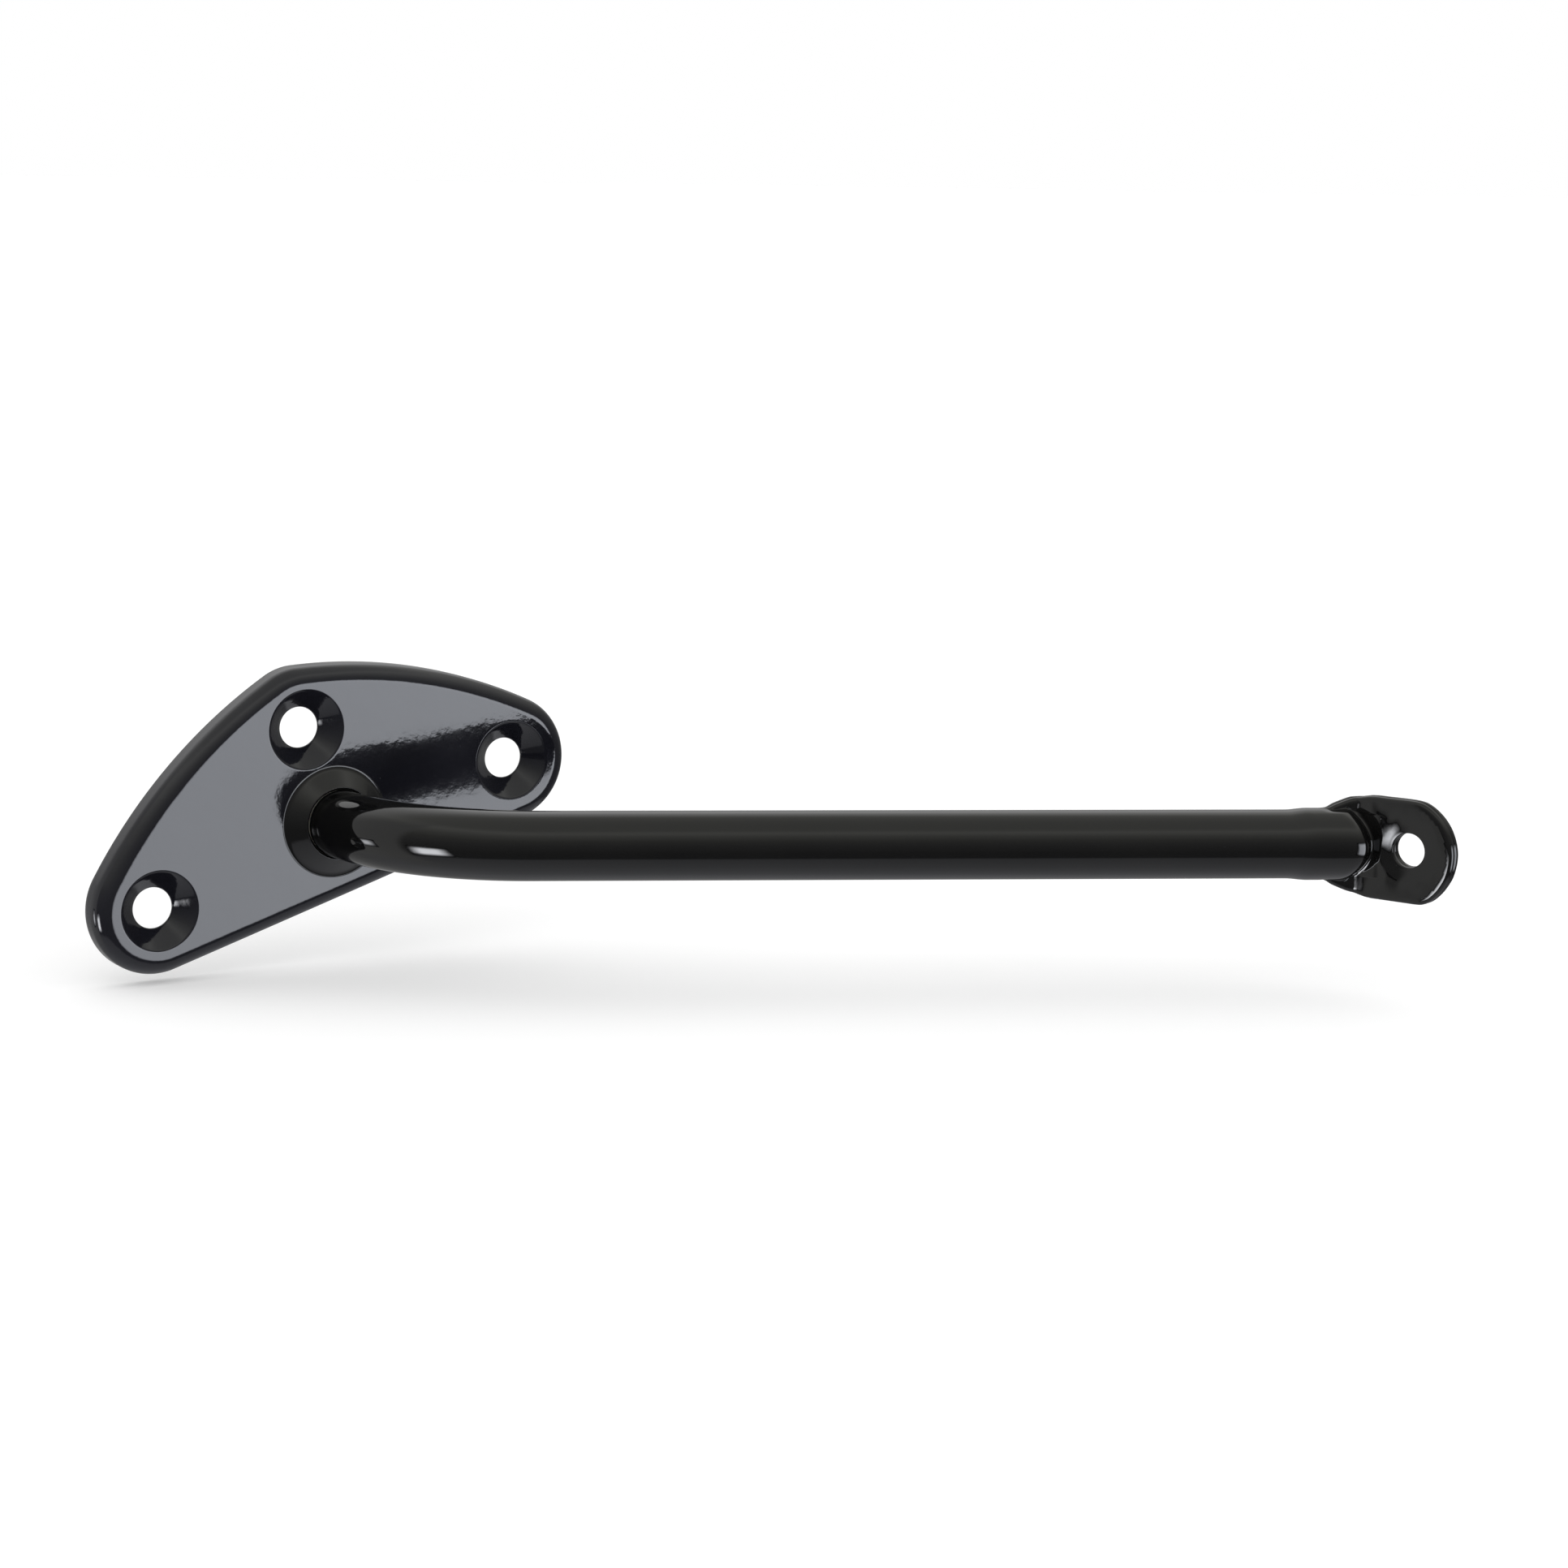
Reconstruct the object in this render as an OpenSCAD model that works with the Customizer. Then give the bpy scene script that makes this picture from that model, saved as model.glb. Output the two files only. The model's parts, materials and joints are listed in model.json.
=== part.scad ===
// Swivelling tubular stay arm on a three-hole wall plate.
// Millimetres, +Z up. The plate stands upright with its back on the plane y = 0
// and its front facing -Y. The origin is where the swivel axis meets that plane.
// The arm leaves the plate along -Y, bends round to +X and ends in a pressed eye.

/* [Plate] */
// Overall depth of the plate, from wall to front face
plate_t = 6.5; // [6.5:0.5:8]
// Rounding of the front edge
edge_r = 3.5; // [2.5:0.5:3.5]
// Radius of the lobes round the left and right screws
lobe_r = 13.4; // [13:0.2:15]
// Radius of the lobe round the top screw
top_lobe_r = 12.6; // [12:0.2:14]
// Radius of the two long curved edges
side_r = 110; // [90:5:140]
// Left screw, sideways from the swivel axis
left_x = -38.4; // [-42:0.2:-36]
// Left screw, height from the swivel axis
left_z = -15.2; // [-16:0.2:-14]
// Top screw, sideways from the swivel axis
top_x = -6.2; // [-8:0.2:-4]
// Top screw, height from the swivel axis
top_z = 19.4; // [19:0.2:24]
// Right screw, sideways from the swivel axis
right_x = 40.6; // [38:0.2:44]
// Right screw, height from the swivel axis
right_z = 9.8; // [8:0.2:11]
// Screw clearance hole diameter
screw_d = 8.4; // [6.4:0.2:8.4]
// Countersink diameter at the front face
sink_d = 16.2; // [14:0.2:16.4]
// Depth of the hollow in the back
recess_d = 2; // [1:0.5:2]
// Width of the rim left round that hollow
rim_w = 3; // [2.5:0.5:4]

/* [Collar] */
// Collar diameter on the plate
collar_d = 22; // [21:0.5:24]
// Collar diameter at its crown
crown_d = 15; // [15:0.5:17]
// Collar height above the plate
collar_h = 3; // [2.5:0.5:4]
// Diameter of the collar's spigot, pressed through the plate
hub_d = 17; // [16.5:0.5:18]
// Diameter of the cup in the crown that the tube end drops into
cup_d = 14.6; // [14.4:0.1:14.8]
// Depth of that cup
cup_h = 1; // [0.8:0.1:1.4]

/* [Arm] */
// Tube outside diameter
tube_d = 14; // [14:1:14]
// Tube wall
tube_wall = 1.5; // [1.5:0.1:2]
// Where the bend starts, in front of the plate face
bend_start = 3.5; // [3.5:0.5:10]
// Bend radius at the tube's centre line
bend_r = 44; // [40:1:60]
// Bend angle, from the swivel axis
bend_a = 64; // [50:1:75]
// Straight length, from the bend to the fold of the eye
arm_l = 165; // [120:5:260]

/* [Eye] */
// Angle that the eye is folded forward from the arm
fold_a = 42; // [20:1:50]
// Width of the flattened end
eye_w = 21; // [20:0.5:21]
// Distance from the fold to the hole
eye_l = 12; // [11:0.5:14]
// Diameter of the hole
eye_d = 7; // [6:0.2:8.4]
// Radius of the rounded tip
tip_r = 10.9; // [10.5:0.1:12]
// Distance from the fold to the tip
tip_l = 22; // [20:0.5:24]
// Length over which the tube is crimped flat
crimp_l = 9; // [8:1:14]

/* [Swivel] */
// Diameter of the turned journal that runs in the bushes
journal_d = 10; // [9:0.5:10]
// Running clearance all round the journal
run_gap = 0.05; // [0.02:0.01:0.08]
// Wall of the flanged bushes
bush_wall = 1; // [0.8:0.1:1.2]
// Flange thickness of the bushes
flange_t = 0.5; // [0.4:0.1:0.6]
// Washer outside diameter
washer_d = 18; // [16:0.5:20]

/* [Hidden] */
$fn = 96;
eps = 0.01;
lap = 0.3;                         // overlap of the straight tube and the bend
A = [left_x, left_z];
B = [top_x, top_z];
C = [right_x, right_z];
tube_bore = tube_d - 2 * tube_wall;
eye_t = 2 * tube_wall;
well_d = 23;                       // counterbore behind the swivel
well_z = 3.5;                      // its depth, from the wall
hub_z = well_z;                    // back end of the collar's spigot
cup_z = plate_t + collar_h - cup_h;
bush_r = journal_d / 2 + run_gap + bush_wall;
seat_z = cup_z + flange_t;         // face the tube end turns on
tube_z = seat_z + 0.05;
washer_z = well_z - flange_t - 0.05 - 0.6;
spring_z = washer_z - 0.7;
ring_t = 0.8;
ring_z = spring_z - ring_t;
pin_z = 0.3;
paint = [0.03, 0.03, 0.035];
zinc = [0.62, 0.62, 0.60];
steel = [0.35, 0.36, 0.38];

function len2(p) = sqrt(p[0] * p[0] + p[1] * p[1]);
function turn_dir(a) = [cos(a), sin(a)];
function dir_of(p) = atan2(p[1], p[0]);
// centre of the arc of radius R that touches circle rp at P and rq at Q from
// outside, bulging to the left of the way from P to Q
function arc_centre(P, rp, Q, rq, R) =
    let (d = len2(Q - P), ex = (Q - P) / d, ey = [-ex[1], ex[0]],
         a = R - rp, b = R - rq, x = (a * a - b * b + d * d) / (2 * d))
    P + ex * x - ey * sqrt(a * a - x * x);
O_ab = arc_centre(A, lobe_r, B, top_lobe_r, side_r);
O_bc = arc_centre(B, top_lobe_r, C, lobe_r, side_r);
down = let (d = (A - C) / len2(A - C)) [-d[1], d[0]];
a_ab = dir_of(A - O_ab);
b_ab = dir_of(B - O_ab);
b_bc = dir_of(B - O_bc);
c_bc = dir_of(C - O_bc);
low = dir_of(down);

// the rounded front edge, as seen in a cut through the rim
function round_edge(r, h) = [for (i = [0:6])
    [r - edge_r + edge_r * cos(15 * i), h - edge_r + edge_r * sin(15 * i)]];

// stops round the outline: [centre, radius, direction], clockwise from the
// lower edge: left lobe, long edge, top lobe, long edge, right lobe
function sweep(P, r, a0, a1, n, i0, i1) =
    [for (i = [i0:i1]) [P, r, a0 + (a1 - a0) * i / n]];
stops = concat(
    sweep(A, lobe_r, low + 360, a_ab, 14, 0, 14),
    sweep(O_ab, side_r, a_ab, b_ab, 7, 1, 6),
    sweep(B, top_lobe_r, b_ab, b_bc, 4, 0, 4),
    sweep(O_bc, side_r, b_bc, c_bc, 7, 1, 6),
    sweep(C, lobe_r, c_bc, low, 14, 0, 14));

// the plate's own space: x right, y up, z out from the wall
module on_wall() { rotate([90, 0, 0]) children(); }

// the whole outline, drawn in by "inset"; round = the front edge is rounded
// over. The lower edge is the straight run from the last stop to the first.
module outline(inset, h, round) {
    hull()
        for (s = stops)
            translate(s[0]) rotate([0, 0, s[2]]) rotate([90, 0, 0])
                linear_extrude(0.01) {
                    r = s[1] - inset;
                    polygon(round ? concat([[r - 6, 0], [r, 0]], round_edge(r, h))
                                  : [[r - 6, 0], [r, 0], [r, h], [r - 6, h]]);
                }
}

module screw_hole(P) {
    translate([P[0], P[1], -1]) cylinder(d = screw_d, h = plate_t + 2);
    translate([P[0], P[1], plate_t - (sink_d - screw_d) / 2])
        cylinder(d1 = screw_d, d2 = sink_d + 2 * eps,
                 h = (sink_d - screw_d) / 2 + eps);
}

module base_plate() {
    color(paint) on_wall() difference() {
        outline(0, plate_t, true);
        difference() {
            translate([0, 0, -1]) outline(rim_w, recess_d + 1, false);
            // solid land round the swivel
            cylinder(d = well_d + 5, h = plate_t);
        }
        for (P = [A, B, C]) screw_hole(P);
        translate([0, 0, -1]) cylinder(d = hub_d, h = plate_t + 2);
        translate([0, 0, -1]) cylinder(d = well_d, h = well_z + 1);
    }
}

// conical collar with a spigot pressed through the plate
module boss_collar() {
    color(paint) on_wall() difference() {
        union() {
            translate([0, 0, plate_t]) cylinder(d1 = collar_d, d2 = crown_d, h = collar_h);
            translate([0, 0, hub_z]) cylinder(d = hub_d, h = plate_t - hub_z + 0.5);
        }
        translate([0, 0, -1]) cylinder(r = bush_r, h = 20);
        translate([0, 0, cup_z]) cylinder(d = cup_d, h = 5);
    }
}

// flanged bush, flange face at z = 0, body towards +z
module bush(length) {
    difference() {
        union() {
            cylinder(d = 13.6, h = flange_t);
            cylinder(r = bush_r, h = length);
        }
        translate([0, 0, -1]) cylinder(d = journal_d + 2 * run_gap, h = length + 2);
    }
}
module front_bush() {
    color("gainsboro") on_wall() translate([0, 0, seat_z]) mirror([0, 0, 1]) bush(3.2);
}
module rear_bush() {
    color("gainsboro") on_wall() translate([0, 0, well_z - flange_t]) bush(2.8);
}

// the arm's own path
module at_bend_end() {
    b = 180 + bend_a;
    translate([bend_r + bend_r * cos(b), -(plate_t + bend_start) + bend_r * sin(b), 0])
        rotate([0, 0, bend_a - 90]) children();
}
module at_fold() { at_bend_end() translate([arm_l, 0, 0]) rotate([0, 0, -fold_a]) children(); }

// round run of the arm, as far as the crimp, a little longer at its two ends
module arm_round(d, start, extra) {
    stub = plate_t + bend_start - tube_z;
    on_wall() translate([0, 0, tube_z - start]) cylinder(d = d, h = stub + start);
    translate([bend_r, -(plate_t + bend_start), 0]) rotate([0, 0, 180])
        rotate_extrude(angle = bend_a, $fn = 180) translate([bend_r, 0]) circle(d = d, $fn = 64);
    at_bend_end() translate([-lap, 0, 0]) rotate([0, 90, 0])
        cylinder(d = d + 0.02, h = arm_l - crimp_l + extra + lap);
}

module arm_tube() {
    color(paint) difference() {
        union() {
            arm_round(tube_d, 0, 0.1);
            // flattened sides, from the full tube to the width of the eye
            hull() {
                at_bend_end() translate([arm_l - crimp_l, 0, 0]) rotate([0, 90, 0])
                    cylinder(d = tube_d + 0.2, h = 0.4, $fn = 32);
                at_fold() translate([0.5, eye_t / 2, 0]) rotate([0, 90, 0])
                    cube([eye_w - 0.6, eye_t - 0.4, 0.4], center = true);
            }
            // rounded nose where the tube is closed
            hull() {
                at_bend_end() translate([arm_l - crimp_l + 1, 0.1, 0]) rotate([0, 90, 0])
                    cylinder(d = tube_d - 0.4, h = 0.4, $fn = 30);
                at_bend_end() translate([arm_l - 6, 0.4, 0]) rotate([0, 90, 0])
                    cylinder(d = tube_d - 1.4, h = 2.4, $fn = 30);
                at_bend_end() translate([arm_l - 1, 0.8, 0]) rotate([0, 90, 0])
                    cylinder(d = 7.5, h = 1.2, $fn = 30);
            }
            // pressed eye
            at_fold() rotate([90, 0, 0]) mirror([0, 0, 1]) linear_extrude(eye_t)
                intersection() {
                    translate([-0.2, -eye_w / 2]) square([tip_l + 1, eye_w]);
                    union() {
                        translate([tip_l - tip_r, 0]) circle(r = tip_r);
                        translate([-1, -eye_w / 2]) square([tip_l - tip_r + 1, eye_w]);
                    }
                }
        }
        arm_round(tube_bore, 1, 0);
        at_fold() translate([eye_l, -1, 0]) rotate([-90, 0, 0])
            cylinder(d = eye_d, h = eye_t + 2);
    }
}

// turned pin: pressed and brazed in the tube end, journal, groove for the ring
module pivot_spigot() {
    color(zinc) on_wall() difference() {
        union() {
            translate([0, 0, tube_z]) cylinder(d = tube_bore, h = 1);
            translate([0, 0, tube_z + 1]) cylinder(d = tube_bore - 1.2, h = 4);
            translate([0, 0, pin_z]) cylinder(d = journal_d, h = tube_z - pin_z + 0.5);
        }
        translate([0, 0, ring_z - 0.02]) difference() {
            cylinder(d = journal_d + 2, h = ring_t + 0.04);
            translate([0, 0, -1]) cylinder(d = journal_d - 1, h = ring_t + 3);
        }
    }
}

module thrust_washer() {
    color(zinc) on_wall() translate([0, 0, washer_z]) difference() {
        cylinder(d = washer_d, h = 0.6);
        translate([0, 0, -1]) cylinder(d = journal_d + 0.3, h = 3);
    }
}

// coned spring washer that keeps the swivel stiff
module disc_spring() {
    color(steel) on_wall() translate([0, 0, spring_z])
        rotate_extrude()
            polygon([[journal_d / 2 + 0.2, 0], [journal_d / 2 + 0.5, 0],
                     [washer_d / 2 - 0.3, 0.35], [washer_d / 2 - 0.3, 0.7],
                     [washer_d / 2 - 0.6, 0.7], [journal_d / 2 + 0.2, 0.35]]);
}

// open ring that snaps in the groove, with two eared ends
module retaining_ring() {
    r = journal_d / 2 - 0.5;
    color(steel) on_wall() translate([0, 0, ring_z]) difference() {
        union() {
            translate([0, 0.35, 0]) cylinder(r = r + 2, h = ring_t);
            for (s = [-1, 1]) translate([s * 2.4, -r - 1.9, 0]) cylinder(r = 1.5, h = ring_t);
        }
        translate([0, 0, -1]) cylinder(r = r, h = 3);
        translate([-0.9, -r - 6, -1]) cube([1.8, 8, 3]);
        for (s = [-1, 1]) translate([s * 2.5, -r - 2, -1]) cylinder(r = 0.7, h = 3);
    }
}

base_plate();
boss_collar();
front_bush();
rear_bush();
arm_tube();
pivot_spigot();
thrust_washer();
disc_spring();
retaining_ring();
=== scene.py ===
import bpy, bmesh, json, math
import numpy as np
from mathutils import Vector, Matrix, noise
from mathutils.geometry import delaunay_2d_cdt


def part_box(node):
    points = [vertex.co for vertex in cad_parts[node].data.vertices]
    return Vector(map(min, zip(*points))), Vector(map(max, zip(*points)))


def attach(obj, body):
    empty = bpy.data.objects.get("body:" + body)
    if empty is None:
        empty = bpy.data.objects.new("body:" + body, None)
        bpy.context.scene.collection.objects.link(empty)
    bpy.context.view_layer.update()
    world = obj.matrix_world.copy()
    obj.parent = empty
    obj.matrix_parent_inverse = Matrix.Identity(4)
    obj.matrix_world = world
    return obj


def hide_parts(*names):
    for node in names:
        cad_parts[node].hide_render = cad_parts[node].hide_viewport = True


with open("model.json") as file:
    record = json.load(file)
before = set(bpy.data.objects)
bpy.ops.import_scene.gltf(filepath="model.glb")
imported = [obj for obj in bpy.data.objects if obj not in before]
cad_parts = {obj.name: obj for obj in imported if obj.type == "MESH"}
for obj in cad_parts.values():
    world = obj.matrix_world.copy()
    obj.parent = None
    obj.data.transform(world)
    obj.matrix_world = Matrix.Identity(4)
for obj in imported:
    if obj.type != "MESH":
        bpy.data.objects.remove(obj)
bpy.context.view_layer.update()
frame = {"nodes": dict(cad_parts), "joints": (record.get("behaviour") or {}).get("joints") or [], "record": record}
rec = frame["record"]


def find_mounts(r):
    if isinstance(r, dict):
        if isinstance(r.get("mounts"), list):
            return r["mounts"]
        for v in r.values():
            m = find_mounts(v)
            if m:
                return m
    return None


mounts = {m["name"]: m for m in find_mounts(rec)}
joint = frame["joints"][0]
AX, AZ = joint["pos_m"][0] * 1000, joint["pos_m"][2] * 1000   # swivel axis, in mm
pl_lo, pl_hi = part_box("base_plate")
T = -pl_lo.y * 1000                                          # plate depth, 6.5
SCREWS = [(mounts[n]["pos_m"][0] * 1000, mounts[n]["pos_m"][2] * 1000)
          for n in ("screw_left", "screw_top", "screw_right")]
HOLE_R = mounts["screw_left"]["dims"]["r_mm"]
EYE_R = mounts["eye"]["dims"]["r_mm"]
tube_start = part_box("arm_tube")[1].y * -1000                 # 9.05 in front of the wall
co_lo, co_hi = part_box("boss_collar")
COLLAR_R = (co_hi.x - co_lo.x) * 500
CROWN_Z = -co_lo.y * 1000


# ---------------------------------------------------------------- mesh tools
class Build:
    """Vertices in mm, faces as index lists; rings share their vertices."""

    def __init__(self):
        self.v, self.f = [], []

    def ring(self, pts):
        i = len(self.v)
        self.v += [tuple(p) for p in pts]
        return list(range(i, len(self.v)))

    def bridge(self, a, b, closed=True):
        n = len(a)
        for i in range(n if closed else n - 1):
            j = (i + 1) % n
            self.f.append((a[i], a[j], b[j], b[i]))

    def fill(self, outer, holes, to2, to3, step=None, keep=0.6):
        """Triangles between an outer loop and holes, with inner points every step."""
        loops = [outer] + holes
        idx = [i for l in loops for i in l]
        p2 = [to2(self.v[i]) for i in idx]
        edges, k = [], 0
        for l in loops:
            n = len(l)
            edges += [(k + i, k + (i + 1) % n) for i in range(n)]
            k += n
        P = np.array(p2, float)
        polys, k = [], 0
        for l in loops:
            polys.append(P[k:k + len(l)])
            k += len(l)
        if step:
            lo, hi = P.min(0), P.max(0)
            gx = np.arange(lo[0], hi[0], step)
            gy = np.arange(lo[1], hi[1], step * 0.866)
            cand = np.array([(x + (0.5 * step if r % 2 else 0), y)
                             for r, y in enumerate(gy) for x in gx])
            ok = inside(cand, polys[0])
            for h in polys[1:]:
                ok &= ~inside(cand, h)
            cand = cand[ok]
            if len(cand):
                d = np.min(np.linalg.norm(cand[:, None, :] - P[None, :, :], axis=2), axis=1)
                cand = cand[d > step * keep]
            new = self.ring([to3(c) for c in cand])
            idx += new
            p2 += [tuple(c) for c in cand]
        vs, _, fs, ov, _, _ = delaunay_2d_cdt([Vector(p) for p in p2], edges, [], 1, 1e-7, True)
        back = [idx[o[0]] for o in ov]
        V = np.array([tuple(v) for v in vs])
        cen = np.array([V[list(f)].mean(0) for f in fs])
        ok = inside(cen, polys[0])
        for h in polys[1:]:
            ok &= ~inside(cen, h)
        for f, good in zip(fs, ok):
            if good:
                self.f.append(tuple(back[i] for i in f))

    def object(self, name, mat, body, sharp=None):
        me = bpy.data.meshes.new(name)
        me.from_pydata([(x * 0.001, y * 0.001, z * 0.001) for x, y, z in self.v], [], self.f)
        bm = bmesh.new()
        bm.from_mesh(me)
        bmesh.ops.recalc_face_normals(bm, faces=bm.faces)
        bm.to_mesh(me)
        bm.free()
        me.materials.append(mat)
        for p in me.polygons:
            p.use_smooth = True
        if sharp:
            me.set_sharp_from_angle(angle=math.radians(sharp))
        me.validate()
        o = bpy.data.objects.new(name, me)
        bpy.context.scene.collection.objects.link(o)
        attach(o, body)
        return o


def inside(pts, poly):
    x, y = pts[:, 0], pts[:, 1]
    r = np.zeros(len(pts), bool)
    n = len(poly)
    for i in range(n):
        x1, y1 = poly[i]
        x2, y2 = poly[(i + 1) % n]
        c = (y1 > y) != (y2 > y)
        if c.any():
            xi = (x2 - x1) * (y - y1) / ((y2 - y1) if y2 != y1 else 1e-12) + x1
            r ^= c & (x < xi)
    return r


def offset_loop(pts, d):
    """Moves a counter-clockwise loop inwards by d."""
    P = np.array(pts)
    t = np.roll(P, -1, 0) - np.roll(P, 1, 0)
    t /= np.linalg.norm(t, axis=1)[:, None]
    return P + np.stack([-t[:, 1], t[:, 0]], 1) * d


def circle(c, r, n, a0=0.0):
    return [(c[0] + r * math.cos(a0 + 2 * math.pi * i / n), c[1] + r * math.sin(a0 + 2 * math.pi * i / n))
            for i in range(n)]


def smooth01(x):
    x = np.clip(x, 0, 1)
    return x * x * (3 - 2 * x)


def fillet(p0, p1, p2, r, n):
    """Points of a round of radius r at corner p1 of the way p0-p1-p2."""
    a, b, c = np.array(p0, float), np.array(p1, float), np.array(p2, float)
    u, w = (a - b) / np.linalg.norm(a - b), (c - b) / np.linalg.norm(c - b)
    half = math.acos(max(-1, min(1, float(u @ w)))) / 2
    d = r / math.tan(half)
    m = (u + w) / np.linalg.norm(u + w) * (r / math.sin(half)) + b
    s, e = b + u * d - m, b + w * d - m
    ang = math.pi - 2 * half
    out = []
    for i in range(n + 1):
        k = i / n
        out.append(tuple(m + (s * math.sin((1 - k) * ang) + e * math.sin(k * ang)) / math.sin(ang)))
    return out


# ---------------------------------------------------------------- materials
def mat_new(name):
    m = bpy.data.materials.new(name)
    m.use_nodes = True
    nt = m.node_tree
    return m, nt, nt.nodes["Principled BSDF"]


def node(nt, kind, **kw):
    n = nt.nodes.new(kind)
    for k, v in kw.items():
        setattr(n, k, v)
    return n


def noise_tex(nt, scale, detail, rough, vec):
    n = node(nt, "ShaderNodeTexNoise")
    n.inputs["Scale"].default_value = scale
    n.inputs["Detail"].default_value = detail
    n.inputs["Roughness"].default_value = rough
    nt.links.new(vec, n.inputs["Vector"])
    return n


def ramp(nt, src, stops):
    r = node(nt, "ShaderNodeValToRGB")
    e = r.color_ramp.elements
    while len(e) < len(stops):
        e.new(0.5)
    for el, (p, c) in zip(e, stops):
        el.position = p
        el.color = (c[0], c[1], c[2], 1) if isinstance(c, (tuple, list)) else (c, c, c, 1)
    nt.links.new(src, r.inputs["Fac"])
    return r.outputs["Color"]


def paint(name, seed, dark=(0.0030, 0.0030, 0.0030), peel=0.35, rough=(0.035, 0.075), lumps=0.25, sway=0.0):
    """Gloss black paint: slow waves, orange peel, a little dust and tone change."""
    m, nt, b = mat_new(name)
    tc = node(nt, "ShaderNodeTexCoord")
    mp = node(nt, "ShaderNodeMapping")
    mp.inputs["Location"].default_value = (seed * 1.7, seed * 0.9, seed * 2.3)
    nt.links.new(tc.outputs["Object"], mp.inputs["Vector"])
    v = mp.outputs["Vector"]
    slow = noise_tex(nt, 60, 3, 0.5, v)
    fine = noise_tex(nt, 620, 2.5, 0.55, v)
    wave = noise_tex(nt, 190, 2, 0.5, v)
    dust = noise_tex(nt, 2600, 1, 0.5, v)
    nt.links.new(ramp(nt, slow.outputs["Fac"], [
        (0.3, tuple(c * 0.85 for c in dark)), (0.7, tuple(c * 1.2 for c in dark))]), b.inputs["Base Color"])
    rg = ramp(nt, slow.outputs["Fac"], [(0.3, rough[0]), (0.72, rough[1])])
    nt.links.new(rg, b.inputs["Roughness"])
    b0 = node(nt, "ShaderNodeBump")
    b0.inputs["Strength"].default_value = sway
    b0.inputs["Distance"].default_value = 0.0005
    nt.links.new(noise_tex(nt, 42, 2, 0.5, v).outputs["Fac"], b0.inputs["Height"])
    b1 = node(nt, "ShaderNodeBump")
    nt.links.new(b0.outputs["Normal"], b1.inputs["Normal"])
    b1.inputs["Strength"].default_value = lumps
    b1.inputs["Distance"].default_value = 0.00006
    nt.links.new(wave.outputs["Fac"], b1.inputs["Height"])
    b2 = node(nt, "ShaderNodeBump")
    b2.inputs["Strength"].default_value = peel
    b2.inputs["Distance"].default_value = 0.00002
    nt.links.new(fine.outputs["Fac"], b2.inputs["Height"])
    nt.links.new(b1.outputs["Normal"], b2.inputs["Normal"])
    # dust nibs under the paint
    nib = ramp(nt, dust.outputs["Fac"], [(0.76, 0.0), (0.80, 1.0)])
    b3 = node(nt, "ShaderNodeBump")
    b3.inputs["Strength"].default_value = 0.2
    b3.inputs["Distance"].default_value = 0.00002
    nt.links.new(nib, b3.inputs["Height"])
    nt.links.new(b2.outputs["Normal"], b3.inputs["Normal"])
    nt.links.new(b3.outputs["Normal"], b.inputs["Normal"])
    b.inputs["IOR"].default_value = 1.5
    b.inputs["Metallic"].default_value = 0.0
    return m


def metal(name, tint, seed, rough=(0.22, 0.4), turned=True):
    """Zinc or spring steel: turning marks or drawn grain, and stains."""
    m, nt, b = mat_new(name)
    tc = node(nt, "ShaderNodeTexCoord")
    mp = node(nt, "ShaderNodeMapping")
    mp.inputs["Location"].default_value = (seed, seed * 0.6, seed * 1.4)
    nt.links.new(tc.outputs["Object"], mp.inputs["Vector"])
    v = mp.outputs["Vector"]
    stain = noise_tex(nt, 260, 4, 0.6, v)
    nt.links.new(ramp(nt, stain.outputs["Fac"], [
        (0.3, tuple(c * 0.72 for c in tint)), (0.55, tint), (0.75, tuple(min(1, c * 1.12) for c in tint))]),
        b.inputs["Base Color"])
    nt.links.new(ramp(nt, stain.outputs["Fac"], [(0.3, rough[1]), (0.7, rough[0])]), b.inputs["Roughness"])
    m2 = node(nt, "ShaderNodeMapping")
    m2.inputs["Scale"].default_value = (1, 14, 1) if turned else (12, 1, 12)
    nt.links.new(tc.outputs["Object"], m2.inputs["Vector"])
    marks = noise_tex(nt, 900, 3, 0.6, m2.outputs["Vector"])
    bp = node(nt, "ShaderNodeBump")
    bp.inputs["Strength"].default_value = 0.4
    bp.inputs["Distance"].default_value = 0.00003
    nt.links.new(marks.outputs["Fac"], bp.inputs["Height"])
    nt.links.new(bp.outputs["Normal"], b.inputs["Normal"])
    b.inputs["Metallic"].default_value = 1.0
    return m


def plastic(name):
    m, nt, b = mat_new(name)
    tc = node(nt, "ShaderNodeTexCoord")
    n1 = noise_tex(nt, 300, 4, 0.6, tc.outputs["Object"])
    n2 = noise_tex(nt, 2400, 2, 0.5, tc.outputs["Object"])
    nt.links.new(ramp(nt, n1.outputs["Fac"], [(0.3, (0.50, 0.48, 0.42)), (0.7, (0.66, 0.64, 0.58))]),
                 b.inputs["Base Color"])
    nt.links.new(ramp(nt, n1.outputs["Fac"], [(0.3, 0.42), (0.7, 0.56)]), b.inputs["Roughness"])
    bp = node(nt, "ShaderNodeBump")
    bp.inputs["Strength"].default_value = 0.3
    bp.inputs["Distance"].default_value = 0.00003
    nt.links.new(n2.outputs["Fac"], bp.inputs["Height"])
    nt.links.new(bp.outputs["Normal"], b.inputs["Normal"])
    return m


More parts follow.
